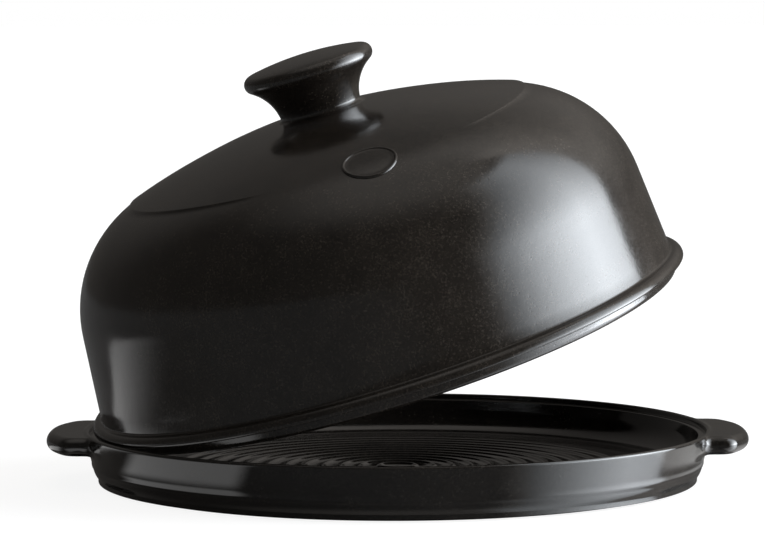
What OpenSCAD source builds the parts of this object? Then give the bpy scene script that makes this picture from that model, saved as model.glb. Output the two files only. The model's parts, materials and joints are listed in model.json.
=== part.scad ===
// Bread cloche: a round stoneware dish with two lug handles, and a domed lid
// that sits inside its rim. Millimetres, +Z up. The origin is the middle of the
// dish's underside, +X runs to the right-hand lug and -Y to the front.
// The lid is modelled closed and then tipped about its tilt axis, as it sits
// with one edge down inside the rim and the other propped up.

/* [Dish] */
// Outer radius of the rim
rim_r = 150.8; // [140:0.1:160]
// Height of the rim above the table
dish_h = 26; // [24:0.5:32]
// Radius of the rounded top edge of the rim
rim_round = 1.2; // [1:0.1:1.8]
// Depth of the ledge, inside the rim, that the lid's flange rests on
ledge_drop = 2.8; // [2:0.1:3.6]
// Width of the ledge
ledge_w = 3.8; // [3:0.1:4.6]
// How far the foot that the dish stands on is set in from the rim
foot_in = 12.8; // [11:0.1:16]
// Height of the step between the foot and the bowl
foot_h = 1.3; // [0.8:0.1:2]
// Thickness of the floor
floor_t = 7; // [5.5:0.5:8]
// Radius of the round between the foot and the side
bowl_round = 13; // [11:0.5:14]
// Lean of the side from the bowl out to the rim, in degrees
side_lean = 16; // [12:0.5:19]
// Radius of the hollow curve from the floor up to the ledge
slope_round = 15; // [12:0.5:16]
// Radius of the raised bead round the side
bead_round = 2.6; // [1.8:0.1:3.2]
// How far the bead stands out from the side
bead_out = 0.6; // [0.4:0.1:1.2]
// Height of the bead's middle above the table
bead_z = 9.5; // [8.5:0.5:12]

/* [Ridges in the floor] */
// Distance from one ridge to the next
ridge_pitch = 9; // [8:0.5:14]
// Height of a ridge
ridge_h = 1; // [0.6:0.1:1.6]
// Radius of a ridge's rounded top
ridge_round = 1.6; // [1.6:0.1:2.2]
// Least width of plain floor outside the last ridge
ridge_margin = 16; // [12:0.5:40]

/* [Lug handles] */
// How far a lug stands out from the rim
lug_reach = 19.2; // [15:0.1:26]
// Half the width of a lug
lug_half_w = 40; // [32:1:46]
// Radius of a lug's two outer corners, seen from above
lug_corner_r = 12; // [8:0.5:15]
// How far a lug's top lies below the top of the rim
lug_drop = 0.5; // [0.3:0.1:1.2]
// Thickness of a lug's plate
lug_t = 7.8; // [7:0.1:9]
// Radius of the rounded grip along a lug's edge
grip_round = 4.4; // [4.2:0.1:5]
// Radius of the hollow corner between a lug and the rim
lug_fillet = 8; // [5:0.5:12]
// How far out from the rim a lug is parted from the dish
lug_root = 1; // [0.8:0.1:2]

/* [Lid] */
// Height of the dome above the flange's underside
dome_h = 116; // [105:1:125]
// Lean of the wall, in degrees
wall_draft = 5.4; // [4:0.1:8]
// Radius of curvature of the crown
crown_r = 284; // [250:2:330]
// Radius of curvature of the shoulder
shoulder_r = 61; // [54:1:70]
// Thickness of the dome
wall_t = 7; // [5.5:0.5:8]
// Gap all round between the flange and the inside of the rim
flange_gap = 0.4; // [0.3:0.1:0.8]
// How far the flange stands out from the foot of the wall
flange_out = 4.8; // [4:0.1:6]
// Height of the flange
flange_h = 4.8; // [4.2:0.1:5.6]
// Radius of the flange's lower edge
flange_edge = 0.8; // [0.6:0.1:1.2]
// Depth of the lip under the flange
lip_h = 5.4; // [3.5:0.1:6]
// Radius of the lip's lower corners
lip_round = 2.4; // [1.5:0.1:2.6]

/* [Shoulder steps] */
// Height of a step in its middle
step_h = 1; // [0.6:0.1:1.6]
// Half the angle that a step takes up round the dome, in degrees
step_half_angle = 60; // [45:1:70]

/* [Knob] */
// Radius of the knob's neck
neck_r = 19.6; // [17:0.1:21]
// Largest radius of the knob
knob_r = 31.8; // [28:0.1:35]
// Height of the knob above the top of the dome
knob_h = 27.5; // [24:0.5:30]
// Radius of the knob's rounded rim
knob_round = 4.2; // [3.6:0.1:4.8]
// Radius of the hollow curve under the knob
knob_flare = 22; // [20:1:30]
// Rise of the knob's top from its rim to its middle
knob_rise = 2.6; // [2:0.1:3.4]
// How far the knob, set on by hand, stands off the dome's middle
knob_off = 2.2; // [0:0.1:2.6]

/* [Medallion] */
// Outer radius of the medallion
medal_r = 13; // [10:0.5:15]
// Height of its raised border
medal_h = 1; // [0.7:0.1:1.5]
// Width of its raised border
medal_border = 1.5; // [1.2:0.1:2]
// Height of its plain middle
medal_mid = 0.5; // [0.3:0.1:0.6]

/* [How the lid sits] */
// Gap between the flange and the ledge when the lid is closed
seat_gap = 0.3; // [0.2:0.1:0.6]
// How far the lid is tipped open, in degrees
tip_angle = 17.6; // [10:0.1:25]
// Direction of the edge that stays down, from the left towards the front, in degrees
tip_toward = 16.7; // [0:0.1:30]
// Turn of the lid about its own middle, in degrees
lid_turn = 11.5; // [0:0.5:30]
// Distance of the tilt axis in from the flange's edge
axis_in = 0.5; // [0.3:0.1:1]
// Height of the tilt axis above the flange's underside when the lid is closed
axis_up = 7; // [6:0.1:8]

/* [Hidden] */
$fn = 96;
// Allowance that carries one solid past another in a cut or a join
over = 5;
// Angle by which one round of the dome's section runs on under the next
sector_lap = 2;
// Depth by which the bowl's round is cut off flat where it meets the foot
bowl_sink = 1;

// Dish: middle of the rim's round edge, and the ledge inside it
rim_mid_r = rim_r - rim_round;
rim_mid_z = dish_h - rim_round;
rim_in_r = rim_mid_r - rim_round;
ledge_z = dish_h - ledge_drop;
foot_r = rim_r - foot_in;

// Dish: the side is a straight line that touches the bowl's round
bowl_mid_z = foot_h + bowl_round - bowl_sink;
bowl_mid_r = rim_r - (bowl_round + (rim_mid_z - bowl_mid_z) * sin(side_lean)) / cos(side_lean);
bowl_touch = [bowl_mid_r, bowl_mid_z] + bowl_round * [cos(side_lean), -sin(side_lean)];
bead_mid_r = rim_r - (rim_mid_z - bead_z) * tan(side_lean) + bead_out - bead_round;

// Dish: the hollow inside, and as many ridges as its flat floor has room for
inner_r = rim_in_r - ledge_w;
slope_mid_r = inner_r - slope_round;
slope_mid_z = floor_t + slope_round;
ridge_count = floor((slope_mid_r - ridge_margin) / ridge_pitch);
ridge_mid_z = floor_t + ridge_h - ridge_round;

// Lugs: the grip's middle line along the tip and the sides, the middle of a corner, and the
// underside
grip_x = rim_r + lug_reach - grip_round;
grip_y = lug_half_w - grip_round;
turn_x = rim_r + lug_reach - lug_corner_r;
turn_y = lug_half_w - lug_corner_r;
grip_turn = lug_corner_r - grip_round;
grip_mid_z = dish_h - lug_drop - grip_round;
lug_low_z = dish_h - lug_drop - lug_t;

// Lugs: radius of the dish's side at the grip's height, and the middle of a hollow corner
grip_side_r = rim_r - (rim_mid_z - grip_mid_z) * tan(side_lean);
hollow_y = lug_half_w + lug_fillet;
hollow_x = sqrt(pow(grip_side_r + lug_fillet, 2) - pow(hollow_y, 2));
hollow_turn = lug_fillet + grip_round;

// Lid: heights here are above the flange's underside
flange_r = rim_in_r - flange_gap;
flange_face = flange_h - flange_edge;
wall_r = flange_r - flange_out;
lip_in_r = wall_r - wall_t / cos(wall_draft);
wall_n = [cos(wall_draft), sin(wall_draft)];
wall_up = [-sin(wall_draft), cos(wall_draft)];
crown_mid = [0, dome_h - crown_r];
shoulder_off = wall_r * wall_n[0] - shoulder_r;
shoulder_up = crown_mid * wall_up
    + sqrt(pow(crown_r - shoulder_r, 2) - pow(shoulder_off - crown_mid * wall_n, 2));
shoulder_mid = shoulder_off * wall_n + shoulder_up * wall_up;
crown_dir = (shoulder_mid - crown_mid) / norm(shoulder_mid - crown_mid);
crown_edge = crown_mid + crown_r * crown_dir;

// Lid: a step is the dome moved out sideways and down, inside the crown's edge
step_slope = crown_dir[0] / crown_dir[1];
step_out = step_h / (crown_dir[0] * (1 - cos(step_half_angle)));
step_down = step_out * step_slope * cos(step_half_angle);

// Knob: middles of its rim round and of the hollow curve under it
knob_rim_mid = [knob_r - knob_round, dome_h + knob_h - knob_rise - knob_round];
neck_foot = [neck_r, dome_h];
flare_span = knob_rim_mid - neck_foot;
flare_gap = norm(flare_span);
flare_along = (pow(knob_flare, 2) - pow(knob_flare + knob_round, 2) + pow(flare_gap, 2))
    / (2 * flare_gap);
flare_side = sqrt(pow(knob_flare, 2) - pow(flare_along, 2));
flare_mid = neck_foot + flare_along * flare_span / flare_gap
    + flare_side * [flare_span[1], -flare_span[0]] / flare_gap;
flare_touch = knob_rim_mid + knob_round * (flare_mid - knob_rim_mid) / norm(flare_mid - knob_rim_mid);
cap_r = (pow(knob_rim_mid[0], 2) + pow(knob_rise + knob_round, 2) - pow(knob_round, 2))
    / (2 * knob_rise);
cap_mid = [0, dome_h + knob_h - cap_r];
cap_edge = atan2(knob_rim_mid[0], knob_rim_mid[1] - cap_mid[1]);

// The crown meets the shoulder at this lean of the surface; the medallion's middle is there
edge_lean = atan2(crown_dir[0], crown_dir[1]);

// Tilt axis: a level line, square to the way that the lid tips
shut_z = ledge_z + seat_gap;
axis_r = flange_r - axis_in;
axis_z = shut_z + axis_up;
tip_dir = [-cos(tip_toward), -sin(tip_toward), 0];
tip_axis = [sin(tip_toward), -cos(tip_toward), 0];

stone = "#3a3735";
glaze_dark = "#2b292a";
relief = "#45413e";

// Part of a disc between two directions, counted in degrees from +Y towards +X
module sector(mid, radius, from, to) {
    far = 3 * radius;
    translate(mid) intersection() {
        circle(radius);
        polygon([[0, 0], far * [sin(from), cos(from)], far * [sin(to), cos(to)]]);
    }
}

// Half section of the dish's outside, filled in to the middle
module dish_outside() {
    square([foot_r, bowl_mid_z]);
    translate([0, foot_h]) square([bowl_mid_r, bowl_mid_z]);
    intersection() {
        translate([bowl_mid_r, bowl_mid_z]) circle(bowl_round);
        translate([0, foot_h]) square([rim_r, dish_h]);
    }
    polygon([[0, bowl_mid_z], [bowl_mid_r, bowl_mid_z], bowl_touch, [rim_r, rim_mid_z],
             [rim_mid_r, rim_mid_z], [rim_mid_r, dish_h], [0, dish_h]]);
    translate([rim_mid_r, rim_mid_z]) circle(rim_round);
    translate([bead_mid_r, bead_z]) circle(bead_round);
}

// Half section of the space inside the dish
module dish_inside() {
    translate([0, floor_t]) square([slope_mid_r, dish_h]);
    translate([slope_mid_r, slope_mid_z]) intersection() {
        circle(slope_round);
        translate([-over, -slope_round]) square([slope_round + over, slope_round]);
    }
    translate([0, slope_mid_z]) square([inner_r, dish_h]);
    translate([0, ledge_z]) square([rim_mid_r, dish_h]);
}

// Round top of the rim, which the space inside must leave standing
module rim_edge() {
    translate([rim_mid_r, rim_mid_z]) circle(rim_round);
}

// One lug, a flat plate with a rounded grip round its edge; the dish hides the inner end
module lug_plate() {
    translate([0, 0, lug_low_z]) linear_extrude(lug_t) {
        translate([0, -turn_y]) square([grip_x, 2 * turn_y]);
        translate([0, -grip_y]) square([turn_x, 2 * grip_y]);
        for (y = [-turn_y, turn_y]) translate([turn_x, y]) circle(grip_turn);
    }
    translate([grip_x, -turn_y, grip_mid_z]) rotate([-90, 0, 0])
        cylinder(h = 2 * turn_y, r = grip_round);
}

// Grip along one side of a lug and round its outer corner
module lug_side() {
    translate([hollow_x, grip_y, grip_mid_z]) rotate([0, 90, 0])
        cylinder(h = turn_x - hollow_x, r = grip_round);
    translate([turn_x, turn_y, grip_mid_z])
        rotate_extrude(angle = 90) translate([grip_turn, 0]) circle(grip_round);
}

// Wedge that takes up one hollow corner between a lug's side and the rim, seen from above
module hollow_wedge() {
    polygon([[0, 0], [hollow_x, 0], [hollow_x, hollow_y]]);
}

// Hollow corner at one side of a lug, with the lug's plate and its rounded grip
module lug_hollow() {
    translate([0, 0, lug_low_z]) linear_extrude(lug_t) difference() {
        hollow_wedge();
        translate([hollow_x, hollow_y]) circle(hollow_turn);
    }
    intersection() {
        translate([hollow_x, hollow_y, grip_mid_z])
            rotate_extrude() translate([hollow_turn, 0]) circle(grip_round);
        linear_extrude(dish_h) hollow_wedge();
    }
}

// The dish and both lugs in one, before the lugs are parted from it
module whole_dish() {
    difference() {
        union() {
            rotate_extrude() dish_outside();
            for (side = [0, 1]) mirror([side, 0, 0]) {
                lug_plate();
                for (end = [0, 1]) mirror([0, end, 0]) {
                    lug_side();
                    lug_hollow();
                }
            }
        }
        rotate_extrude() difference() {
            dish_inside();
            rim_edge();
        }
    }
    rotate_extrude() intersection() {
        for (i = [0 : ridge_count - 1])
            translate([(i + 1) * ridge_pitch, ridge_mid_z]) circle(ridge_round);
        translate([0, floor_t]) square([rim_r, ridge_h]);
    }
}

// Space outside the seam where the lugs leave the rim, one half of it at a time
module lug_zone() {
    translate([0, -rim_r, 0]) difference() {
        cube([rim_r + lug_reach + over, 2 * rim_r, dish_h + over]);
        translate([0, rim_r, -over]) cylinder(h = dish_h + 3 * over, r = rim_r + lug_root);
    }
}

module dish() {
    color(stone) difference() {
        whole_dish();
        for (side = [0, 1]) mirror([side, 0, 0]) lug_zone();
    }
}

module right_handle() {
    color(stone) intersection() {
        whole_dish();
        lug_zone();
    }
}

module left_handle() {
    color(stone) intersection() {
        whole_dish();
        mirror([1, 0, 0]) lug_zone();
    }
}

// Half section of the dome, filled in to the middle and drawn in by an inset
module dome_fill(inset) {
    wall_foot = [wall_r - inset / wall_n[0] + over * wall_n[1] / wall_n[0], -over];
    wall_top = shoulder_mid + (shoulder_r - inset) * wall_n;
    polygon([[0, -over], wall_foot, wall_top, [0, wall_top[1]]]);
    sector(shoulder_mid, shoulder_r - inset, edge_lean - sector_lap, 90 - wall_draft + sector_lap);
    intersection() {
        sector(crown_mid, crown_r - inset, 0, edge_lean);
        translate([0, -over]) square([rim_r, dome_h + 2 * over]);
    }
}

// Half section of the flange: a round outer face over a small lower edge
module flange_fill() {
    translate([flange_r - flange_face, flange_edge]) intersection() {
        circle(flange_face);
        square(flange_face);
    }
    translate([lip_in_r, flange_edge]) square([flange_r - flange_face - lip_in_r, flange_face]);
    translate([lip_in_r, 0]) square([flange_r - flange_edge - lip_in_r, flange_edge]);
    translate([flange_r - flange_edge, flange_edge]) circle(flange_edge);
}

// Half section of the lip, with its two rounded lower corners
module lip_fill() {
    translate([lip_in_r, lip_round - lip_h]) square([wall_r - lip_in_r, lip_h]);
    translate([lip_in_r + lip_round, -lip_h]) square([wall_r - lip_in_r - 2 * lip_round, lip_h]);
    for (r = [lip_in_r + lip_round, wall_r - lip_round])
        translate([r, lip_round - lip_h]) circle(lip_round);
}

// Low crescent on one side of the crown, which ends in a step at the crown's edge
module shoulder_step() {
    intersection() {
        translate([step_out, 0, crown_mid[1] - step_down]) sphere(crown_r);
        translate([0, -rim_r, dome_h / 2]) cube([rim_r, 2 * rim_r, dome_h]);
        translate([0, 0, dome_h / 2]) cylinder(h = dome_h, r = crown_edge[0]);
    }
}

module dome_solid() {
    difference() {
        union() {
            rotate_extrude() {
                difference() {
                    dome_fill(0);
                    translate([0, -2 * over]) square([rim_r, 2 * over]);
                }
                flange_fill();
                lip_fill();
            }
            for (side = [0, 1]) mirror([side, 0, 0]) shoulder_step();
        }
        rotate_extrude() dome_fill(wall_t);
    }
}

// Half section of the knob, filled in to the middle and down into the dome
module knob_section() {
    difference() {
        polygon([[0, dome_h - over], neck_foot - [0, over], neck_foot, [flare_mid[0], dome_h],
                 flare_touch, knob_rim_mid, [0, knob_rim_mid[1]]]);
        translate(flare_mid) circle(knob_flare);
    }
    translate(knob_rim_mid) circle(knob_round);
    intersection() {
        sector(cap_mid, cap_r, 0, cap_edge);
        translate([0, knob_rim_mid[1]]) square([knob_r, knob_h]);
    }
}

module knob_solid() {
    difference() {
        translate([knob_off, 0, 0]) rotate_extrude() knob_section();
        rotate_extrude() dome_fill(0);
    }
}

// Round column that cuts the medallion out, square to the dome at the crown's edge
module medallion_cut(radius) {
    translate([0, -crown_edge[0], crown_edge[1]]) rotate([edge_lean, 0, 0])
        translate([0, 0, -over]) cylinder(h = 2 * over, r = radius);
}

// The medallion follows the dome: a plain middle inside a raised border
module medallion_solid() {
    difference() {
        union() {
            intersection() {
                rotate_extrude() dome_fill(-medal_mid);
                medallion_cut(medal_r);
            }
            difference() {
                intersection() {
                    rotate_extrude() dome_fill(-medal_h);
                    medallion_cut(medal_r);
                }
                medallion_cut(medal_r - medal_border);
            }
        }
        rotate_extrude() dome_fill(0);
    }
}

// Lid pieces are drawn closed, on their own axis, and then set as they sit
module as_lid_sits() {
    translate([0, 0, axis_z] + axis_r * tip_dir)
        rotate(a = tip_angle, v = tip_axis)
            translate([0, 0, shut_z - axis_z] - axis_r * tip_dir)
                rotate([0, 0, lid_turn])
                    children();
}

module dome() {
    color(glaze_dark) as_lid_sits() dome_solid();
}

module knob() {
    color(glaze_dark) as_lid_sits() knob_solid();
}

module medallion() {
    color(relief) as_lid_sits() medallion_solid();
}

dish();
left_handle();
right_handle();
dome();
knob();
medallion();
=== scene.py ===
"""Looks of the bread cloche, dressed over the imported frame. Metres, in the frame's own axes."""

import json
import math

import bmesh
import bpy
import numpy as np
from mathutils import Matrix, Vector


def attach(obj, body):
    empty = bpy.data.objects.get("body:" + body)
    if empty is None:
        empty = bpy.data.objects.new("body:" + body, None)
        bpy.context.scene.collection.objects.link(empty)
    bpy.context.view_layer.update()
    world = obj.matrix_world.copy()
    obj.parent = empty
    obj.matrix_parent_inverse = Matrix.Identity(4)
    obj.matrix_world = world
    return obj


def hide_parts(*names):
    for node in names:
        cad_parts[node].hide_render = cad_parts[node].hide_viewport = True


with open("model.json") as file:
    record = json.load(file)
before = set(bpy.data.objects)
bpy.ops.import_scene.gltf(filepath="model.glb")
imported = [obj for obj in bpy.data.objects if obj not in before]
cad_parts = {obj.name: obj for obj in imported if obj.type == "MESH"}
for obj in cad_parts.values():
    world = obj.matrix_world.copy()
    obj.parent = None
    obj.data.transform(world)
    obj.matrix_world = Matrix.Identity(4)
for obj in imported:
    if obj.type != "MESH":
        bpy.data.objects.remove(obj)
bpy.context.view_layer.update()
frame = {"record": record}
MM = 0.001

# Camera, as fitted to the photograph: where it stands, how far it looks down, and its lens
EYE = Vector((-0.00702, -1.7948, 0.2386))
PITCH = math.radians(4.36)
ROLL = math.radians(-0.17)
SENSOR_MM = 36.0
IMAGE_W = 765
FOCAL_PX = 3740.0

# Dish, in millimetres, as in the CAD source
RIM_R = 150.8
DISH_H = 26.0
RIM_ROUND = 1.2
LEDGE_DROP = 2.8
LEDGE_W = 3.8
FOOT_IN = 12.8
FOOT_H = 1.3
FLOOR_T = 7.0
BOWL_ROUND = 10.0
BOWL_SINK = 1.0
SIDE_LEAN = math.radians(14)
SLOPE_ROUND = 15.0
BEAD_ROUND = 3.2
BEAD_OUT = 0.3
BEAD_Z = 9.8
RIDGE_PITCH = 9.0
RIDGE_H = 1.0
RIDGE_ROUND = 1.6
RIDGE_COUNT = 12

# Lug handles, in millimetres
LUG_REACH = 19.2
LUG_HALF_W = 40.0
LUG_CORNER_R = 12.0
LUG_DROP = 0.5
LUG_T = 7.8
GRIP_ROUND = 4.4
LUG_FILLET = 8.0
LUG_BLEND = 3.2
CREST_BLEND = 1.0
LUG_TIP_R = 75.0
LUG_SEAM = 1.4

# Lid, in millimetres above the flange's underside
DOME_H = 116.0
WALL_DRAFT = math.radians(5.4)
CROWN_R = 284.0
SHOULDER_R = 61.0
WALL_T = 7.0
FLANGE_R = 148.0
FLANGE_OUT = 4.8
FLANGE_H = 4.8
FLANGE_EDGE = 0.8
LIP_H = 5.4
LIP_ROUND = 2.4
STEP_H = 1.0
STEP_HALF_ANGLE = math.radians(60)

# Knob and medallion, in millimetres
NECK_R = 19.6
KNOB_R = 31.8
KNOB_H = 27.5
KNOB_ROUND = 4.2
KNOB_FLARE = 22.0
KNOB_RISE = 2.6
KNOB_OFF = 2.2
NECK_FILLET = 2.0
MEDAL_R = 13.0
MEDAL_H = 1.0
MEDAL_BORDER = 1.5
MEDAL_MID = 0.5
MEDAL_SINK = 1.2

# How the lid sits: its height when closed and its turn about its own middle
SHUT_Z = 23.5
LID_TURN = math.radians(11.5)

# Fineness of the meshes, in millimetres or as a count, and the fired glaze's rounding of every edge
TURNS = 600
FINE = 0.12
EDGE_STEP = 1.1
GLAZE_BLUR = 0.30

# Studio: azimuth 0 is behind the object and 90 on its right; elevations above the floor, in degrees
WARM = (1.0, 0.94, 0.88, 1)
COOL = (0.90, 0.95, 1.0, 1)
SOFTBOX_EDGE = 61.5
SOFTBOX_EDGE_SOFT = 1.5
SOFTBOX_MID = 81.0
SOFTBOX_END = 141.0
SOFTBOX_TOP = 66.0
SOFTBOX_TOP_SOFT = 2
SOFTBOX_FULL_BELOW = 10.0
SOFTBOX_FALL = 28.0
SOFTBOX_MOST = 1.3
SOFTBOX_LEVEL = 12.0
CEILING = (45, 80)
CEILING_LEVEL = 0.34
FRONT_LEVEL = 0.06

# Pale backdrop: where each of its sides fades, where it grows to the right, and how bright it is
BACKDROP_LEFT = (-70, -35)
BACKDROP_RIGHT = (60, 64)
BACKDROP_FOOT = (5, 32)
BACKDROP_TOP = (66, 80)
BACKDROP_GROWTH = (-20, 50)
BACKDROP_RISE = (28, 56)
BACKDROP_MOST = 1.75
BACKDROP_LEVEL = 0.36

# Bounce cards on the floor, seen in reflections only. Each has its nearest and farthest distance from
# the middle in metres, its two azimuths, and the widths over which it fades in and out between them
CARDS = ((0.19, 0.42, -110, -72, 34, 3), (0.167, 0.22, -148, -104, 5, 8), (0.170, 0.24, 58, 114, 42, 6))
CARD_NEAR_SOFT = 0.004
CARD_FAR_SOFT = 0.02
CARD_LEVEL = 0.75

FLOOR_SIZE = 40
FLOOR_TONE = 0.30
FLOOR_GLOW = 0.90
FLOOR_SHINE = 0.6
FLOOR_SHINE_TONE = 0.9
FLOOR_ROUGHNESS = 0.12

# Glaze: sizes in millimetres of its mottling, clouds, grit, waves and pits, and its index of refraction
MOTTLE = 16
CLOUD = 70
GRIT = 1.1
WAVE = 7
PIT = 2.6
# Painted shade: the darker tone laid into the hollows of the pits
PIT_SHADE_TONE = (0.003, 0.0028, 0.0026, 1)
GLAZE_IOR = 1.7

# Each glaze's dark and light tone and pale flecks, its roughness, and the depth of its grain and pits
GLAZES = {
    "dish_glaze": ((0.005, 0.0044, 0.0038), (0.022, 0.0185, 0.0150), (0.05, 0.043, 0.036),
                   0.06, 0.005, 0.012),
    "lid_glaze": ((0.007, 0.0058, 0.0048), (0.038, 0.0305, 0.0240), (0.075, 0.063, 0.052),
                  0.10, 0.012, 0.020),
    "relief_glaze": ((0.007, 0.0058, 0.0048), (0.034, 0.0278, 0.0225), (0.06, 0.051, 0.043),
                     0.10, 0.008, 0.010),
}


def add_camera():
    data = bpy.data.cameras.new("camera")
    data.sensor_fit = "HORIZONTAL"
    data.sensor_width = SENSOR_MM
    data.lens = FOCAL_PX * SENSOR_MM / IMAGE_W
    data.clip_start = 0.05
    data.clip_end = 60
    camera = bpy.data.objects.new("camera", data)
    bpy.context.collection.objects.link(camera)
    turn = Matrix.Rotation(math.pi / 2 - PITCH, 4, "X") @ Matrix.Rotation(ROLL, 4, "Z")
    camera.matrix_world = Matrix.Translation(EYE) @ turn
    bpy.context.scene.camera = camera


def arc(mid, radius, start, end):
    """Points on an arc in a half section, from one angle to another, in degrees from +r to +z."""
    count = max(2, int(abs(math.radians(end - start)) * radius / FINE))
    angles = np.radians(np.linspace(start, end, count))
    return np.stack([mid[0] + radius * np.cos(angles), mid[1] + radius * np.sin(angles)], 1)


def length_along(points):
    return np.concatenate([[0], np.cumsum(np.linalg.norm(np.diff(points, axis=0), axis=1))])


def respace(points, spacing):
    """The same line with evenly spaced points."""
    keep = np.concatenate([[True], np.linalg.norm(np.diff(points, axis=0), axis=1) > 1e-6])
    points = points[keep]
    s = length_along(points)
    even = np.linspace(0, s[-1], max(2, int(round(s[-1] / spacing)) + 1))
    return np.stack([np.interp(even, s, points[:, k]) for k in (0, 1)], 1)


def soften(points, blur):
    """Rounds every corner of an evenly spaced line a little. Its ends stay where they are."""
    reach = int(math.ceil(3 * blur / FINE))
    weight = np.exp(-0.5 * (np.arange(-reach, reach + 1) * FINE / blur) ** 2)
    weight /= weight.sum()
    soft = np.empty_like(points)
    for k in (0, 1):
        head = 2 * points[0, k] - points[1:reach + 1, k][::-1]
        tail = 2 * points[-1, k] - points[-reach - 1:-1, k][::-1]
        soft[:, k] = np.convolve(np.concatenate([head, points[:, k], tail]), weight, "valid")
    return soft


def thin(points, turn, longest, dense=()):
    """Leaves out points where the line is nearly straight. Stretches named in dense stay fine."""
    way = np.diff(points, axis=0)
    angle = np.unwrap(np.arctan2(way[:, 1], way[:, 0]))
    s = length_along(points)
    kept = [0]
    for i in range(1, len(points) - 1):
        gap = s[i] - s[kept[-1]]
        fine = any(low < points[i, 0] < high and points[i, 1] > floor for low, high, floor in dense)
        if abs(angle[i] - angle[kept[-1]]) > turn or gap > longest or (fine and gap > 0.11):
            kept.append(i)
    kept.append(len(points) - 1)
    return points[kept]


def section(*parts, turn=math.radians(5), longest=5.0, dense=()):
    """A half section from its arcs and corners, softened as glaze softens it, and thinned."""
    line = respace(np.concatenate([np.atleast_2d(np.array(p, float)) for p in parts]), FINE)
    return thin(soften(line, GLAZE_BLUR), turn, longest, dense)


def grid_faces(turns, count):
    """Quads of a grid that closes on itself the one way round."""
    i, j = np.meshgrid(np.arange(turns), np.arange(count - 1), indexing="ij")
    a, b = i * count + j, (i + 1) % turns * count + j
    return np.stack([a, b, b + 1, a + 1], -1).reshape(-1, 4)


def grid_normals(points):
    """Surface normals of a grid of points: turns first, then along the section."""
    along = np.empty_like(points)
    gap = np.linalg.norm(np.diff(points, axis=1), axis=2)[..., None] + 1e-9
    way = np.diff(points, axis=1) / gap
    along[:, 1:-1] = (way[:, :-1] * gap[:, 1:] + way[:, 1:] * gap[:, :-1])
    along[:, 0], along[:, -1] = way[:, 0], way[:, -1]
    around = np.roll(points, -1, 0) - np.roll(points, 1, 0)
    normal = np.cross(around, along)
    length = np.linalg.norm(normal, axis=2)[..., None]
    return normal / np.maximum(length, 1e-12)


def mesh_object(name, points, faces, normals):
    mesh = bpy.data.meshes.new(name)
    mesh.from_pydata([tuple(p) for p in points], [], [tuple(int(k) for k in f) for f in faces])
    mesh.update()
    for polygon in mesh.polygons:
        polygon.use_smooth = True
    mesh.normals_split_custom_set_from_vertices([tuple(n) for n in normals])
    piece = bpy.data.objects.new(name, mesh)
    bpy.context.collection.objects.link(piece)
    return piece


def closed_grid(points):
    """Points, faces and normals of a grid of points, closed at the middle of both its ends."""
    turns, count = points.shape[:2]
    normals = grid_normals(points)
    faces = [list(f) for f in grid_faces(turns, count)]
    first, last = turns * count, turns * count + 1
    for i in range(turns):
        j = (i + 1) % turns
        faces.append([first, j * count, i * count])
        faces.append([last, i * count + count - 1, j * count + count - 1])
    ends = [points[:, 0].mean(0), points[:, -1].mean(0)]
    end_normals = [normals[:, 0].mean(0), normals[:, -1].mean(0)]
    return (np.concatenate([points.reshape(-1, 3), ends]) * MM, faces,
            np.concatenate([normals.reshape(-1, 3), end_normals]))


def turned(line, turns=TURNS, mid=(0, 0)):
    """Grid of points made by turning a half section about an upright axis."""
    angle = np.arange(turns) * 2 * math.pi / turns
    r, z = line[:, 0][None], line[:, 1][None]
    x = mid[0] + r * np.cos(angle)[:, None]
    y = mid[1] + r * np.sin(angle)[:, None]
    return np.stack([x, y, z + 0 * x], -1)


# Dish: middle of the rim's round edge, of the bowl's round and of the hollow curve inside
RIM_MID = (RIM_R - RIM_ROUND, DISH_H - RIM_ROUND)
BOWL_MID_Z = FOOT_H + BOWL_ROUND - BOWL_SINK
BOWL_RISE = RIM_MID[1] - BOWL_MID_Z
BOWL_MID_R = RIM_R - (BOWL_ROUND + BOWL_RISE * math.sin(SIDE_LEAN)) / math.cos(SIDE_LEAN)
BOWL_TOUCH_Z = BOWL_MID_Z - BOWL_ROUND * math.sin(SIDE_LEAN)
BEAD_DEPTH = BEAD_ROUND - BEAD_OUT
BEAD_MID = (RIM_R - (RIM_MID[1] - BEAD_Z) * math.tan(SIDE_LEAN) - BEAD_DEPTH * math.cos(SIDE_LEAN),
            BEAD_Z + BEAD_DEPTH * math.sin(SIDE_LEAN))
LEDGE_Z = DISH_H - LEDGE_DROP
RIM_IN_R = RIM_MID[0] - RIM_ROUND
SLOPE_MID = (RIM_IN_R - LEDGE_W - SLOPE_ROUND, FLOOR_T + SLOPE_ROUND)

# Lugs: the band of the side that they grow out of, their corners, their grip and their hollows
BAND_LOW = 12.8
TURN_X = RIM_R + LUG_REACH - LUG_CORNER_R
TURN_Y = LUG_HALF_W - LUG_CORNER_R
GRIP_Z = DISH_H - LUG_DROP - GRIP_ROUND
PLATE_Z = DISH_H - LUG_DROP - LUG_T / 2
GRIP_SIDE_R = RIM_R - (RIM_MID[1] - GRIP_Z) * math.tan(SIDE_LEAN)
HOLLOW_Y = LUG_HALF_W + LUG_FILLET
HOLLOW_X = math.sqrt((GRIP_SIDE_R + LUG_FILLET) ** 2 - HOLLOW_Y ** 2)
HOLLOW_TURN = math.atan2(HOLLOW_Y, HOLLOW_X)


def smooth_step(x):
    x = np.clip(x, 0, 1)
    return x * x * (3 - 2 * x)


def smooth_least(a, b, reach):
    """The smaller of two distances, rounded where they come within reach of each other."""
    h = np.clip(1 - np.abs(a - b) / reach, 0, 1)
    return np.minimum(a, b) - h * h * reach / 4


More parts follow.
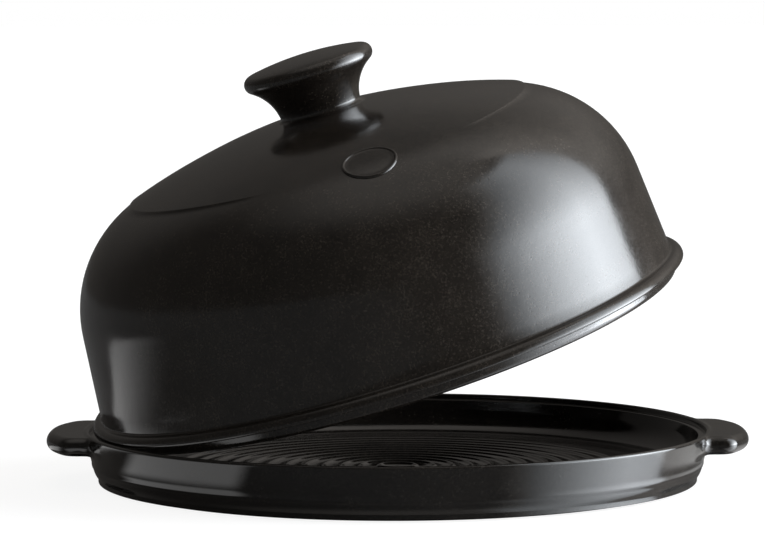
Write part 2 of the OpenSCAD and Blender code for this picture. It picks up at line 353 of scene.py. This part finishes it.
def side_radius(z):
    """Radius of the dish's side at a height, with its bead."""
    bowl = BOWL_MID_R + np.sqrt(np.clip(BOWL_ROUND ** 2 - (z - BOWL_MID_Z) ** 2, 0, None))
    line = RIM_R - (RIM_MID[1] - z) * math.tan(SIDE_LEAN)
    bead = BEAD_MID[0] + np.sqrt(np.clip(BEAD_ROUND ** 2 - (z - BEAD_MID[1]) ** 2, 0, None))
    return np.maximum(np.where(z < BOWL_TOUCH_Z, bowl, line), bead)


def dish_distance(r, z):
    """Distance to the rim and the side, above the bead."""
    rim = np.hypot(r - RIM_MID[0], z - RIM_MID[1]) - RIM_ROUND
    side = (r - side_radius(z)) * math.cos(SIDE_LEAN)
    return np.where(z > RIM_MID[1], rim, side)


def lug_outline(x, y):
    """Distance to the lugs' outline seen from above, below 0 inside it."""
    x, y = np.abs(x), np.abs(y)
    r, turn = np.hypot(x, y), np.arctan2(y, x)
    out, side = x - TURN_X, y - TURN_Y
    straight = np.minimum(np.maximum(out, side), 0) + np.hypot(np.maximum(out, 0), np.maximum(side, 0))
    tip = np.hypot(x - RIM_R - LUG_REACH + LUG_TIP_R, y) - LUG_TIP_R
    nose = -smooth_least(LUG_CORNER_R - straight, -tip, 4.0)
    hollow = LUG_FILLET - np.hypot(x - HOLLOW_X, y - HOLLOW_Y)
    gone = r - GRIP_SIDE_R + 5 * smooth_step((turn - HOLLOW_TURN) / math.radians(7))
    return np.where(turn > HOLLOW_TURN, gone, np.where(x < HOLLOW_X, hollow, nose))


def dish_turns():
    """Azimuths of the dish's grid: even steps, but close together along the edges of the lugs."""
    half = 30
    turn = np.linspace(0, 2 * math.pi, 36001)
    r = np.full_like(turn, RIM_R + LUG_REACH + 1)
    for step in range(60):
        r = np.maximum(r - lug_outline(r * np.cos(turn), r * np.sin(turn)), GRIP_SIDE_R)
    edge = np.hypot(np.diff(r), r[1:] * np.diff(turn)) / EDGE_STEP
    near = np.abs((turn[1:] + math.pi / 2) % math.pi - math.pi / 2) < HOLLOW_TURN + 0.05
    steps = np.maximum(np.where(near, edge, 0), np.diff(turn) * TURNS / (2 * math.pi))
    wide = np.ones(2 * half) / (2 * half)
    steps = np.convolve(np.concatenate([steps[-half:], steps, steps[:half - 1]]), wide, "valid")
    total = np.concatenate([[0], np.cumsum(steps)])
    count = int(round(total[-1]))
    return np.interp(np.arange(count) * total[-1] / count, total, turn)


def lug_distance(r, z, turn):
    """Distance to the lugs: a plate with a rounded grip that hangs lower along its edge."""
    p = lug_outline(r * np.cos(turn), r * np.sin(turn)) + GRIP_ROUND
    off = np.abs(z - PLATE_Z) - LUG_T / 2
    plate = np.minimum(np.maximum(p, off), 0) + np.hypot(np.maximum(p, 0), np.maximum(off, 0))
    grip = np.hypot(p, z - GRIP_Z) - GRIP_ROUND
    lug = smooth_least(plate, grip, 0.02 + 2.0 * smooth_step((GRIP_Z - z) / 2))
    near_side = smooth_step((RIM_R + 0.7 - r) / 2)
    return lug + 4 * smooth_step((BAND_LOW + 1.7 - z) / 1.7) * near_side


def band_distance(r, z, turn):
    reach = CREST_BLEND + (LUG_BLEND - CREST_BLEND) * smooth_step((DISH_H - z) / 3)
    return smooth_least(dish_distance(r, z), lug_distance(r, z, turn), reach)


def band_lines(turn):
    """Follows the surface from the rim's crest out over the lugs and down to the bead."""
    r, z = np.full(len(turn), RIM_MID[0]), np.full(len(turn), DISH_H)
    path, tiny, stride = [], 0.005, 0.2
    for step in range(520):
        for _ in range(2):
            f = band_distance(r, z, turn)
            fr = (band_distance(r + tiny, z, turn) - f) / tiny
            fz = (band_distance(r, z + tiny, turn) - f) / tiny
            size = np.maximum(fr * fr + fz * fz, 0.04)
            r, z = r - f * fr / size, z - f * fz / size
        path.append(np.stack([r, z], 1))
        size = np.sqrt(size)
        r, z = r + stride * fz / size, z - stride * fr / size
    lines = []
    for line in np.stack(path, 1):
        end = np.argmax(line[:, 1] < BAND_LOW)
        share = (line[end - 1, 1] - BAND_LOW) / (line[end - 1, 1] - line[end, 1])
        last = line[end - 1] + share * (line[end] - line[end - 1])
        lines.append(soften(respace(np.concatenate([line[:end], [last]]), FINE), GLAZE_BLUR))
    return lines


def dish_points():
    """Grid of points over the whole dish with its lugs, from the middle below to the middle above."""
    low_z = np.arange(FOOT_H, BAND_LOW, FINE)
    low = np.stack([side_radius(low_z), low_z], 1)
    foot_r = RIM_R - FOOT_IN
    under = section((1, 0), (foot_r, 0), (foot_r, FOOT_H), low, (side_radius(BAND_LOW), BAND_LOW))
    ridge_r = np.arange(SLOPE_MID[0], 1, -FINE)
    near = ridge_r - RIDGE_PITCH * np.clip(np.round(ridge_r / RIDGE_PITCH), 1, RIDGE_COUNT)
    ridge = FLOOR_T + RIDGE_H - RIDGE_ROUND + np.sqrt(np.clip(RIDGE_ROUND ** 2 - near ** 2, 0, None))
    floor = np.stack([ridge_r, np.maximum(FLOOR_T, ridge)], 1)
    inside = section(arc(RIM_MID, RIM_ROUND, 90, 180), (RIM_IN_R, LEDGE_Z),
                     (RIM_IN_R - LEDGE_W, LEDGE_Z), arc(SLOPE_MID, SLOPE_ROUND, 0, -90), floor,
                     turn=math.radians(9))
    turn, columns = dish_turns(), []
    step, crest, count = 0.3, 6, 70
    for line in band_lines(turn):
        s = length_along(line)
        places = np.concatenate([np.arange(step, crest, step), np.linspace(crest, s[-1], count)[:-1]])[::-1]
        band = np.stack([np.interp(places, s, line[:, k]) for k in (0, 1)], 1)
        columns.append(np.concatenate([under, band, inside]))
    grid = np.stack(columns)
    turn = turn[:, None]
    return np.stack([grid[:, :, 0] * np.cos(turn), grid[:, :, 0] * np.sin(turn), grid[:, :, 1]], -1)


def cut_piece(name, shape, planes):
    """A piece of a shape: what lies beyond each plane is cut off, and the cut is closed."""
    points, faces, normals = shape
    source = bpy.data.meshes.new(name)
    source.from_pydata([tuple(p) for p in points], [], [tuple(int(k) for k in f) for f in faces])
    bm = bmesh.new()
    bm.from_mesh(source)
    bpy.data.meshes.remove(source)
    kept = bm.verts.layers.float_vector.new("kept_normal")
    for vert, normal in zip(bm.verts, normals):
        vert[kept] = normal
    for point, outwards in planes:
        cut = bmesh.ops.bisect_plane(bm, geom=bm.verts[:] + bm.edges[:] + bm.faces[:], dist=1e-7,
                                     plane_co=point, plane_no=outwards, clear_outer=True)
        edges = [e for e in cut["geom_cut"] if isinstance(e, bmesh.types.BMEdge)]
        filled = bmesh.ops.triangle_fill(bm, edges=edges, use_beauty=True, normal=outwards)
        for face in filled["geom"]:
            if isinstance(face, bmesh.types.BMFace):
                face.material_index = 1
    mesh = bpy.data.meshes.new(name)
    bm.normal_update()
    bm.verts.index_update()
    smooth = np.array([vert[kept] for vert in bm.verts])
    bm.to_mesh(mesh)
    bm.free()
    corner_normals = []
    for polygon in mesh.polygons:
        polygon.use_smooth = True
        flat = polygon.material_index == 1
        for vertex in polygon.vertices:
            corner_normals.append(tuple(polygon.normal if flat else smooth[vertex]))
        polygon.material_index = 0
    mesh.attributes.remove(mesh.attributes["kept_normal"])
    mesh.normals_split_custom_set(corner_normals)
    piece = bpy.data.objects.new(name, mesh)
    bpy.context.collection.objects.link(piece)
    return piece


def dress(piece, body, nodes, material):
    """Says what a piece rides on, which CAD nodes it stands for, and what it is made of."""
    piece.data.materials.append(material)
    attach(piece, body)
    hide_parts(*nodes)


def add_dish(material):
    """The dish and its two lugs, which are one smooth form, parted by a plane beside the rim."""
    shape = closed_grid(dish_points())
    seam = (RIM_R + LUG_SEAM) * MM
    right = (Vector((seam, 0, 0)), Vector((1, 0, 0)))
    left = (Vector((-seam, 0, 0)), Vector((-1, 0, 0)))
    dress(cut_piece("dish_body", shape, [right, left]), "base", ["dish"], material)
    for name, node, (point, outwards) in (("right_lug", "right_handle", right),
                                          ("left_lug", "left_handle", left)):
        dress(cut_piece(name, shape, [(point, -outwards)]), "base", [node], material)


# Lid: outward way of the wall, and middles of the crown and of the shoulder
WALL_N = np.array([math.cos(WALL_DRAFT), math.sin(WALL_DRAFT)])
WALL_UP = np.array([-WALL_N[1], WALL_N[0]])
WALL_R = FLANGE_R - FLANGE_OUT
CROWN_MID = np.array([0, DOME_H - CROWN_R])
SHOULDER_OFF = WALL_R * WALL_N[0] - SHOULDER_R
SHOULDER_SIDE = SHOULDER_OFF - CROWN_MID @ WALL_N
SHOULDER_UP = CROWN_MID @ WALL_UP + math.sqrt((CROWN_R - SHOULDER_R) ** 2 - SHOULDER_SIDE ** 2)
SHOULDER_MID = SHOULDER_OFF * WALL_N + SHOULDER_UP * WALL_UP
CROWN_WAY = (SHOULDER_MID - CROWN_MID) / np.linalg.norm(SHOULDER_MID - CROWN_MID)
CROWN_EDGE = CROWN_MID + CROWN_R * CROWN_WAY
EDGE_LEAN = math.atan2(CROWN_WAY[0], CROWN_WAY[1])
FLANGE_FILLET = 1.2
STEP_SLOPE = 0.8


def step_height(x, y, z):
    """How far a shoulder step lifts the crown at a point, fading round the dome to nothing."""
    out = STEP_H / (CROWN_WAY[0] * (1 - math.cos(STEP_HALF_ANGLE)))
    down = out * CROWN_WAY[0] / CROWN_WAY[1] * math.cos(STEP_HALF_ANGLE)
    r = np.hypot(x, y)
    lifted = CROWN_MID[1] - down + np.sqrt(np.clip(CROWN_R ** 2 - (np.abs(x) - out) ** 2 - y * y, 0, None))
    crown = CROWN_MID[1] + np.sqrt(np.clip(CROWN_R ** 2 - r * r, 0, None))
    rise = -smooth_least(crown - lifted, 0, 0.25)
    face = (CROWN_EDGE[0] + 0.4 - r) * STEP_SLOPE
    step = smooth_least(np.maximum(rise, 0), face, 0.12)
    return np.where(z > DOME_H / 2, np.maximum(step, 0), 0)


def dome_points():
    """Grid of points over the dome: up inside it, round the lip and the flange, and over the crown."""
    draft, lean, apex = math.degrees(WALL_DRAFT), math.degrees(EDGE_LEAN), 89.8
    thick = WALL_T / math.cos(WALL_DRAFT)
    crown_in = arc(CROWN_MID, CROWN_R - WALL_T, apex, 90 - lean)
    shoulder_in = arc(SHOULDER_MID, SHOULDER_R - WALL_T, 90 - lean, draft)
    lip_in = arc((WALL_R - thick + LIP_ROUND, LIP_ROUND - LIP_H), LIP_ROUND, 172, 270)
    lip_out = arc((WALL_R - LIP_ROUND, LIP_ROUND - LIP_H), LIP_ROUND, 270, 360)
    edge = arc((FLANGE_R - FLANGE_EDGE, FLANGE_EDGE), FLANGE_EDGE, 270, 360)
    face = FLANGE_H - FLANGE_EDGE
    flange = arc((FLANGE_R - face, FLANGE_EDGE), face, 0, 90)
    fillet_z = FLANGE_H + FLANGE_FILLET
    fillet_r = WALL_R - fillet_z * math.tan(WALL_DRAFT) + FLANGE_FILLET / math.cos(WALL_DRAFT)
    fillet = arc((fillet_r, fillet_z), FLANGE_FILLET, 270, 180 + draft)
    shoulder = arc(SHOULDER_MID, SHOULDER_R, draft, 90 - lean)
    crown = arc(CROWN_MID, CROWN_R, 90 - lean, apex)
    near_edge = (CROWN_EDGE[0] - 1.3, CROWN_EDGE[0] + 0.5, CROWN_EDGE[1] - 0.5)
    line = section(crown_in, shoulder_in, lip_in, lip_out, (WALL_R, 0), edge, flange, fillet,
                   shoulder, crown, turn=math.radians(3.5), dense=[near_edge])
    points = turned(line)
    points[..., 2] += step_height(points[..., 0], points[..., 1], points[..., 2])
    return points


def knob_points():
    """Grid of points over the knob, from inside the dome up round its rim and over its top."""
    rim_mid = np.array([KNOB_R - KNOB_ROUND, DOME_H + KNOB_H - KNOB_RISE - KNOB_ROUND])
    foot = np.array([NECK_R, DOME_H])
    span = rim_mid - foot
    gap = np.linalg.norm(span)
    along = (KNOB_FLARE ** 2 - (KNOB_FLARE + KNOB_ROUND) ** 2 + gap ** 2) / (2 * gap)
    side = math.sqrt(KNOB_FLARE ** 2 - along ** 2)
    flare_mid = foot + along * span / gap + side * np.array([span[1], -span[0]]) / gap
    touch = math.degrees(math.atan2(*(flare_mid - rim_mid)[::-1]))
    cap_r = (rim_mid[0] ** 2 + (KNOB_RISE + KNOB_ROUND) ** 2 - KNOB_ROUND ** 2) / (2 * KNOB_RISE)
    cap_mid = np.array([0, DOME_H + KNOB_H - cap_r])
    cap_edge = math.degrees(math.atan2(rim_mid[1] - cap_mid[1], rim_mid[0]))
    crown_z = CROWN_MID[1] + math.sqrt(CROWN_R ** 2 - NECK_R ** 2)
    fillet_z = crown_z + NECK_FILLET
    fillet_turn = math.degrees(math.asin((fillet_z - flare_mid[1]) / KNOB_FLARE))
    fillet_r = flare_mid[0] - KNOB_FLARE * math.cos(math.radians(fillet_turn)) + NECK_FILLET
    line = section((1, crown_z - 3), (fillet_r - 0.5, crown_z - 3), (fillet_r + 0.2, crown_z - 0.4),
                   arc((fillet_r, fillet_z), NECK_FILLET, 270, 180),
                   arc(flare_mid, KNOB_FLARE, 180 - fillet_turn, 180 + touch),
                   arc(rim_mid, KNOB_ROUND, touch, cap_edge), arc(cap_mid, cap_r, cap_edge, 89.5))
    return turned(line, TURNS // 3, (KNOB_OFF, 0))


def dome_height(out, across):
    """Height of the dome's surface over the plane that touches it at the crown's edge."""
    way, normal = np.array([CROWN_WAY[1], -CROWN_WAY[0]]), CROWN_WAY
    base = CROWN_EDGE + out[..., None] * way
    height = np.zeros_like(out)
    for step in range(6):
        point = base + height[..., None] * normal
        r = np.hypot(point[..., 0], across)
        crown = np.hypot(r, point[..., 1] - CROWN_MID[1]) - CROWN_R
        shoulder = np.hypot(r - SHOULDER_MID[0], point[..., 1] - SHOULDER_MID[1]) - SHOULDER_R
        height -= np.where(r < CROWN_EDGE[0], crown, shoulder)
    return height


def medallion_points():
    """Grid of points over the medallion: a bare middle inside a raised border, along the dome."""
    half = MEDAL_BORDER / 2
    border = arc((MEDAL_R - half, MEDAL_H - half), half, 0, 180)
    line = section((0.5, -MEDAL_SINK), (MEDAL_R, -MEDAL_SINK), (MEDAL_R, 0), border,
                   (MEDAL_R - MEDAL_BORDER, MEDAL_MID), (0.5, MEDAL_MID), turn=math.radians(8), longest=2)
    points = turned(line, TURNS // 4)
    across, out = points[..., 0], -points[..., 1]
    high = points[..., 2] + dome_height(out, across)
    r = CROWN_EDGE[0] + out * CROWN_WAY[1] + high * CROWN_WAY[0]
    z = CROWN_EDGE[1] - out * CROWN_WAY[0] + high * CROWN_WAY[1]
    return np.stack([across, -r, z], -1)


def lid_place():
    """Takes the lid's own millimetres to where it sits tipped open, as a matrix in metres."""
    joint = next(j for j in frame["record"]["behaviour"]["joints"] if j["name"] == "lid_tilt")
    at, axis = Vector(joint["pos_m"]), Vector(joint["axis"])
    tip = Matrix.Rotation(-math.radians(joint["range_deg"][0]), 4, axis)
    shut = Matrix.Translation((0, 0, SHUT_Z * MM)) @ Matrix.Rotation(LID_TURN, 4, "Z")
    return Matrix.Translation(at) @ tip @ Matrix.Translation(-at) @ shut


def place(shape, matrix):
    """A shape moved by a matrix, its normals with it."""
    points, faces, normals = shape
    turn, shift = np.array(matrix.to_3x3()), np.array(matrix.translation)
    return points @ turn.T + shift, faces, normals @ turn.T


def add_lid(glazes):
    matrix = lid_place()
    for name, node, points, slot in (("lid_dome", "dome", dome_points(), "lid_glaze"),
                                     ("lid_knob", "knob", knob_points(), "lid_glaze"),
                                     ("lid_medallion", "medallion", medallion_points(), "relief_glaze")):
        piece = mesh_object(name, *place(closed_grid(points), matrix))
        dress(piece, "lid", [node], glazes[slot])


class Nodes:
    """A node tree that is built from short calls, each of which gives the new node's output."""

    def __init__(self, tree):
        self.tree = tree

    def add(self, kind, output=0, settings=(), **inputs):
        node = self.tree.nodes.new(kind)
        for name, value in settings:
            setattr(node, name, value)
        for name, value in inputs.items():
            self.feed(node.inputs[name.replace("_", " ")], value)
        return node.outputs[output]

    def feed(self, socket, value):
        if isinstance(value, bpy.types.NodeSocket):
            self.tree.links.new(value, socket)
        else:
            socket.default_value = value

    def math(self, operation, *values):
        node = self.tree.nodes.new("ShaderNodeMath")
        node.operation = operation
        for socket, value in zip(node.inputs, values):
            self.feed(socket, value)
        return node.outputs[0]

    def total(self, *values):
        result = values[0]
        for value in values[1:]:
            result = self.math("ADD", result, value)
        return result

    def product(self, *values):
        result = values[0]
        for value in values[1:]:
            result = self.math("MULTIPLY", result, value)
        return result

    def ramp(self, value, start, end, low=0.0, high=1.0, shape="SMOOTHSTEP"):
        """Low before start, high after end, with a smooth or a straight way between."""
        node = self.tree.nodes.new("ShaderNodeMapRange")
        node.interpolation_type = shape
        for name, number in (("From Min", start), ("From Max", end), ("To Min", low), ("To Max", high)):
            node.inputs[name].default_value = number
        self.feed(node.inputs["Value"], value)
        return node.outputs[0]

    def noise(self, place, size_mm, detail=2.0, roughness=0.5):
        return self.add("ShaderNodeTexNoise", "Fac", Vector=place, Scale=1000 / size_mm, Detail=detail,
                        Roughness=roughness)

    def blend(self, share, low, high):
        """Mixes two colours; share 0 gives the first."""
        node = self.tree.nodes.new("ShaderNodeMix")
        node.data_type = "RGBA"
        for socket, value in ((0, share), (6, low), (7, high)):
            self.feed(node.inputs[socket], value)
        return node.outputs[2]


def fresh_tree(owner):
    owner.use_nodes = True
    owner.node_tree.nodes.clear()
    return Nodes(owner.node_tree)


def add_world():
    """A dim studio with a big softbox on the right, a pale ceiling and a pale backdrop behind.

    The camera sees plain white instead, also through clear material."""
    world = bpy.data.worlds.new("studio")
    bpy.context.scene.world = world
    n = fresh_tree(world)
    way = n.add("ShaderNodeTexCoord", "Generated")
    split = n.tree.nodes.new("ShaderNodeSeparateXYZ")
    n.feed(split.inputs[0], way)
    azimuth = n.math("DEGREES", n.math("ARCTAN2", split.outputs[0], split.outputs[1]))
    elevation = n.math("DEGREES", n.math("ARCSINE", split.outputs[2]))

    edge = n.ramp(azimuth, SOFTBOX_EDGE - SOFTBOX_EDGE_SOFT, SOFTBOX_EDGE + SOFTBOX_EDGE_SOFT)
    rise = n.ramp(azimuth, SOFTBOX_EDGE, SOFTBOX_MID, 0.5, 1, "LINEAR")
    fall = n.ramp(azimuth, SOFTBOX_MID, SOFTBOX_END, 1, 0)
    below = n.math("SUBTRACT", SOFTBOX_FULL_BELOW, elevation)
    lower = n.math("POWER", 2.718, n.math("DIVIDE", below, SOFTBOX_FALL))
    top = n.ramp(elevation, SOFTBOX_TOP - SOFTBOX_TOP_SOFT, SOFTBOX_TOP + SOFTBOX_TOP_SOFT, 1, 0)
    softbox = n.product(n.math("MINIMUM", lower, SOFTBOX_MOST), top, edge, rise, fall, SOFTBOX_LEVEL)

    ceiling = n.ramp(elevation, *CEILING, 0, CEILING_LEVEL)
    backdrop = n.product(n.ramp(azimuth, *BACKDROP_GROWTH, 0.15, 1), n.ramp(azimuth, *BACKDROP_LEFT),
                         n.ramp(azimuth, *BACKDROP_RIGHT, 1, 0),
                         n.ramp(azimuth, *BACKDROP_RISE, 1, BACKDROP_MOST),
                         n.ramp(elevation, *BACKDROP_FOOT, 0.2, 1),
                         n.ramp(elevation, *BACKDROP_TOP, 1, 0), BACKDROP_LEVEL)

    studio = n.add("ShaderNodeBackground", Color=n.blend(n.math("MINIMUM", softbox, 1.0), WARM, COOL),
                   Strength=n.total(softbox, ceiling, backdrop, FRONT_LEVEL))
    white = n.add("ShaderNodeBackground", Color=(1, 1, 1, 1), Strength=1.0)
    path = n.tree.nodes.new("ShaderNodeLightPath")
    seen = n.math("MAXIMUM", path.outputs["Is Camera Ray"], path.outputs["Is Transmission Ray"])
    mix = n.tree.nodes.new("ShaderNodeMixShader")
    for socket, value in zip(mix.inputs, (seen, studio, white)):
        n.feed(socket, value)
    out = n.tree.nodes.new("ShaderNodeOutputWorld")
    n.feed(out.inputs["Surface"], mix.outputs[0])


def add_floor():
    """A pale polished floor that the camera sees as white wherever the object casts no shadow."""
    bpy.ops.mesh.primitive_plane_add(size=FLOOR_SIZE)
    floor = bpy.context.object
    floor.name = "floor"
    material = bpy.data.materials.new("floor")
    n = fresh_tree(material)
    matt = n.add("ShaderNodeBsdfDiffuse", Color=(FLOOR_TONE, FLOOR_TONE, FLOOR_TONE, 1))
    shine = n.add("ShaderNodeBsdfGlossy", Color=(FLOOR_SHINE_TONE, FLOOR_SHINE_TONE, FLOOR_SHINE_TONE, 1),
                  Roughness=FLOOR_ROUGHNESS)
    path = n.tree.nodes.new("ShaderNodeLightPath")
    seen = n.math("MAXIMUM", path.outputs["Is Camera Ray"], path.outputs["Is Transmission Ray"])
    split = n.tree.nodes.new("ShaderNodeSeparateXYZ")
    n.feed(split.inputs[0], n.add("ShaderNodeTexCoord", "Object"))
    away = n.math("SQRT", n.math("ADD", *(n.math("POWER", split.outputs[k], 2.0) for k in (0, 1))))
    azimuth = n.math("DEGREES", n.math("ARCTAN2", split.outputs[0], split.outputs[1]))
    cards = []
    for near, far, start, end, start_soft, end_soft in CARDS:
        cards.append(n.product(n.ramp(away, near - CARD_NEAR_SOFT, near + CARD_NEAR_SOFT),
                               n.ramp(away, far - CARD_FAR_SOFT, far + CARD_FAR_SOFT, 1, 0),
                               n.ramp(azimuth, start, start + start_soft),
                               n.ramp(azimuth, end - end_soft, end, 1, 0)))
    card = n.product(n.total(*cards), path.outputs["Is Glossy Ray"], CARD_LEVEL)
    glow = n.add("ShaderNodeEmission", Strength=n.total(n.math("MULTIPLY", seen, FLOOR_GLOW), card))
    polish = n.tree.nodes.new("ShaderNodeMixShader")
    share = n.math("MULTIPLY", path.outputs["Is Glossy Ray"], FLOOR_SHINE)
    for socket, value in zip(polish.inputs, (share, matt, shine)):
        n.feed(socket, value)
    both = n.tree.nodes.new("ShaderNodeAddShader")
    n.feed(both.inputs[0], polish.outputs[0])
    n.feed(both.inputs[1], glow)
    out = n.tree.nodes.new("ShaderNodeOutputMaterial")
    n.feed(out.inputs["Surface"], both.outputs[0])
    floor.data.materials.append(material)


def glaze(name, dark, light, fleck, roughness, grain, pits):
    """Dark fired glaze: mottled tone, pale flecks, fine grain and tiny open pits, with painted shade
    darkening the pits.
    """
    material = bpy.data.materials.new(name)
    n = fresh_tree(material)
    place = n.add("ShaderNodeTexCoord", "Object")
    mottle = n.ramp(n.noise(place, MOTTLE, 5, 0.62), 0.36, 0.66)
    cloud = n.ramp(n.noise(place, CLOUD, 3), 0.35, 0.7)
    grit = n.ramp(n.noise(place, GRIT, 2, 0.6), 0.34, 0.66)
    flecks = n.ramp(n.noise(place, GRIT, 2, 0.5), 0.60, 0.72)
    hole = n.add("ShaderNodeTexVoronoi", "Distance", Vector=place, Scale=1000 / PIT, Randomness=1.0)
    pit = n.math("MULTIPLY", n.ramp(hole, 0.10, 0.24, 1, 0), n.ramp(mottle, 0.2, 0.9))

    share = n.total(n.product(grit, 0.50), n.product(mottle, 0.25), n.product(cloud, 0.25))
    tone = n.blend(share, (*dark, 1), (*light, 1))
    tone = n.blend(n.product(flecks, n.ramp(mottle, 0, 1, 0.2, 0.6)), tone, (*fleck, 1))
    # Painted shade: the pits' hollows are darkened in colour, on top of their sunken bump
    tone = n.blend(n.math("MULTIPLY", pit, 0.7), tone, PIT_SHADE_TONE)
    dull = n.total(roughness, n.product(mottle, 0.04), n.product(grit, 0.04), n.product(cloud, 0.02))

    relief = n.total(n.product(n.noise(place, GRIT, 3, 0.6), grain),
                     n.product(n.noise(place, WAVE, 2), 3.0 * grain), n.product(pit, -pits))
    bump = n.tree.nodes.new("ShaderNodeBump")
    bump.inputs["Strength"].default_value = 1.0
    bump.inputs["Distance"].default_value = MM
    n.feed(bump.inputs["Height"], relief)
    shader = n.tree.nodes.new("ShaderNodeBsdfPrincipled")
    for socket, value in (("Base Color", tone), ("Roughness", dull), ("Normal", bump.outputs[0]),
                          ("IOR", GLAZE_IOR)):
        n.feed(shader.inputs[socket], value)
    out = n.tree.nodes.new("ShaderNodeOutputMaterial")
    n.feed(out.inputs["Surface"], shader.outputs[0])
    return material


add_camera()
add_world()
add_floor()
glazes = {name: glaze(name, *look) for name, look in GLAZES.items()}
add_dish(glazes["dish_glaze"])
add_lid(glazes)

bpy.context.scene.view_settings.view_transform = "Standard"
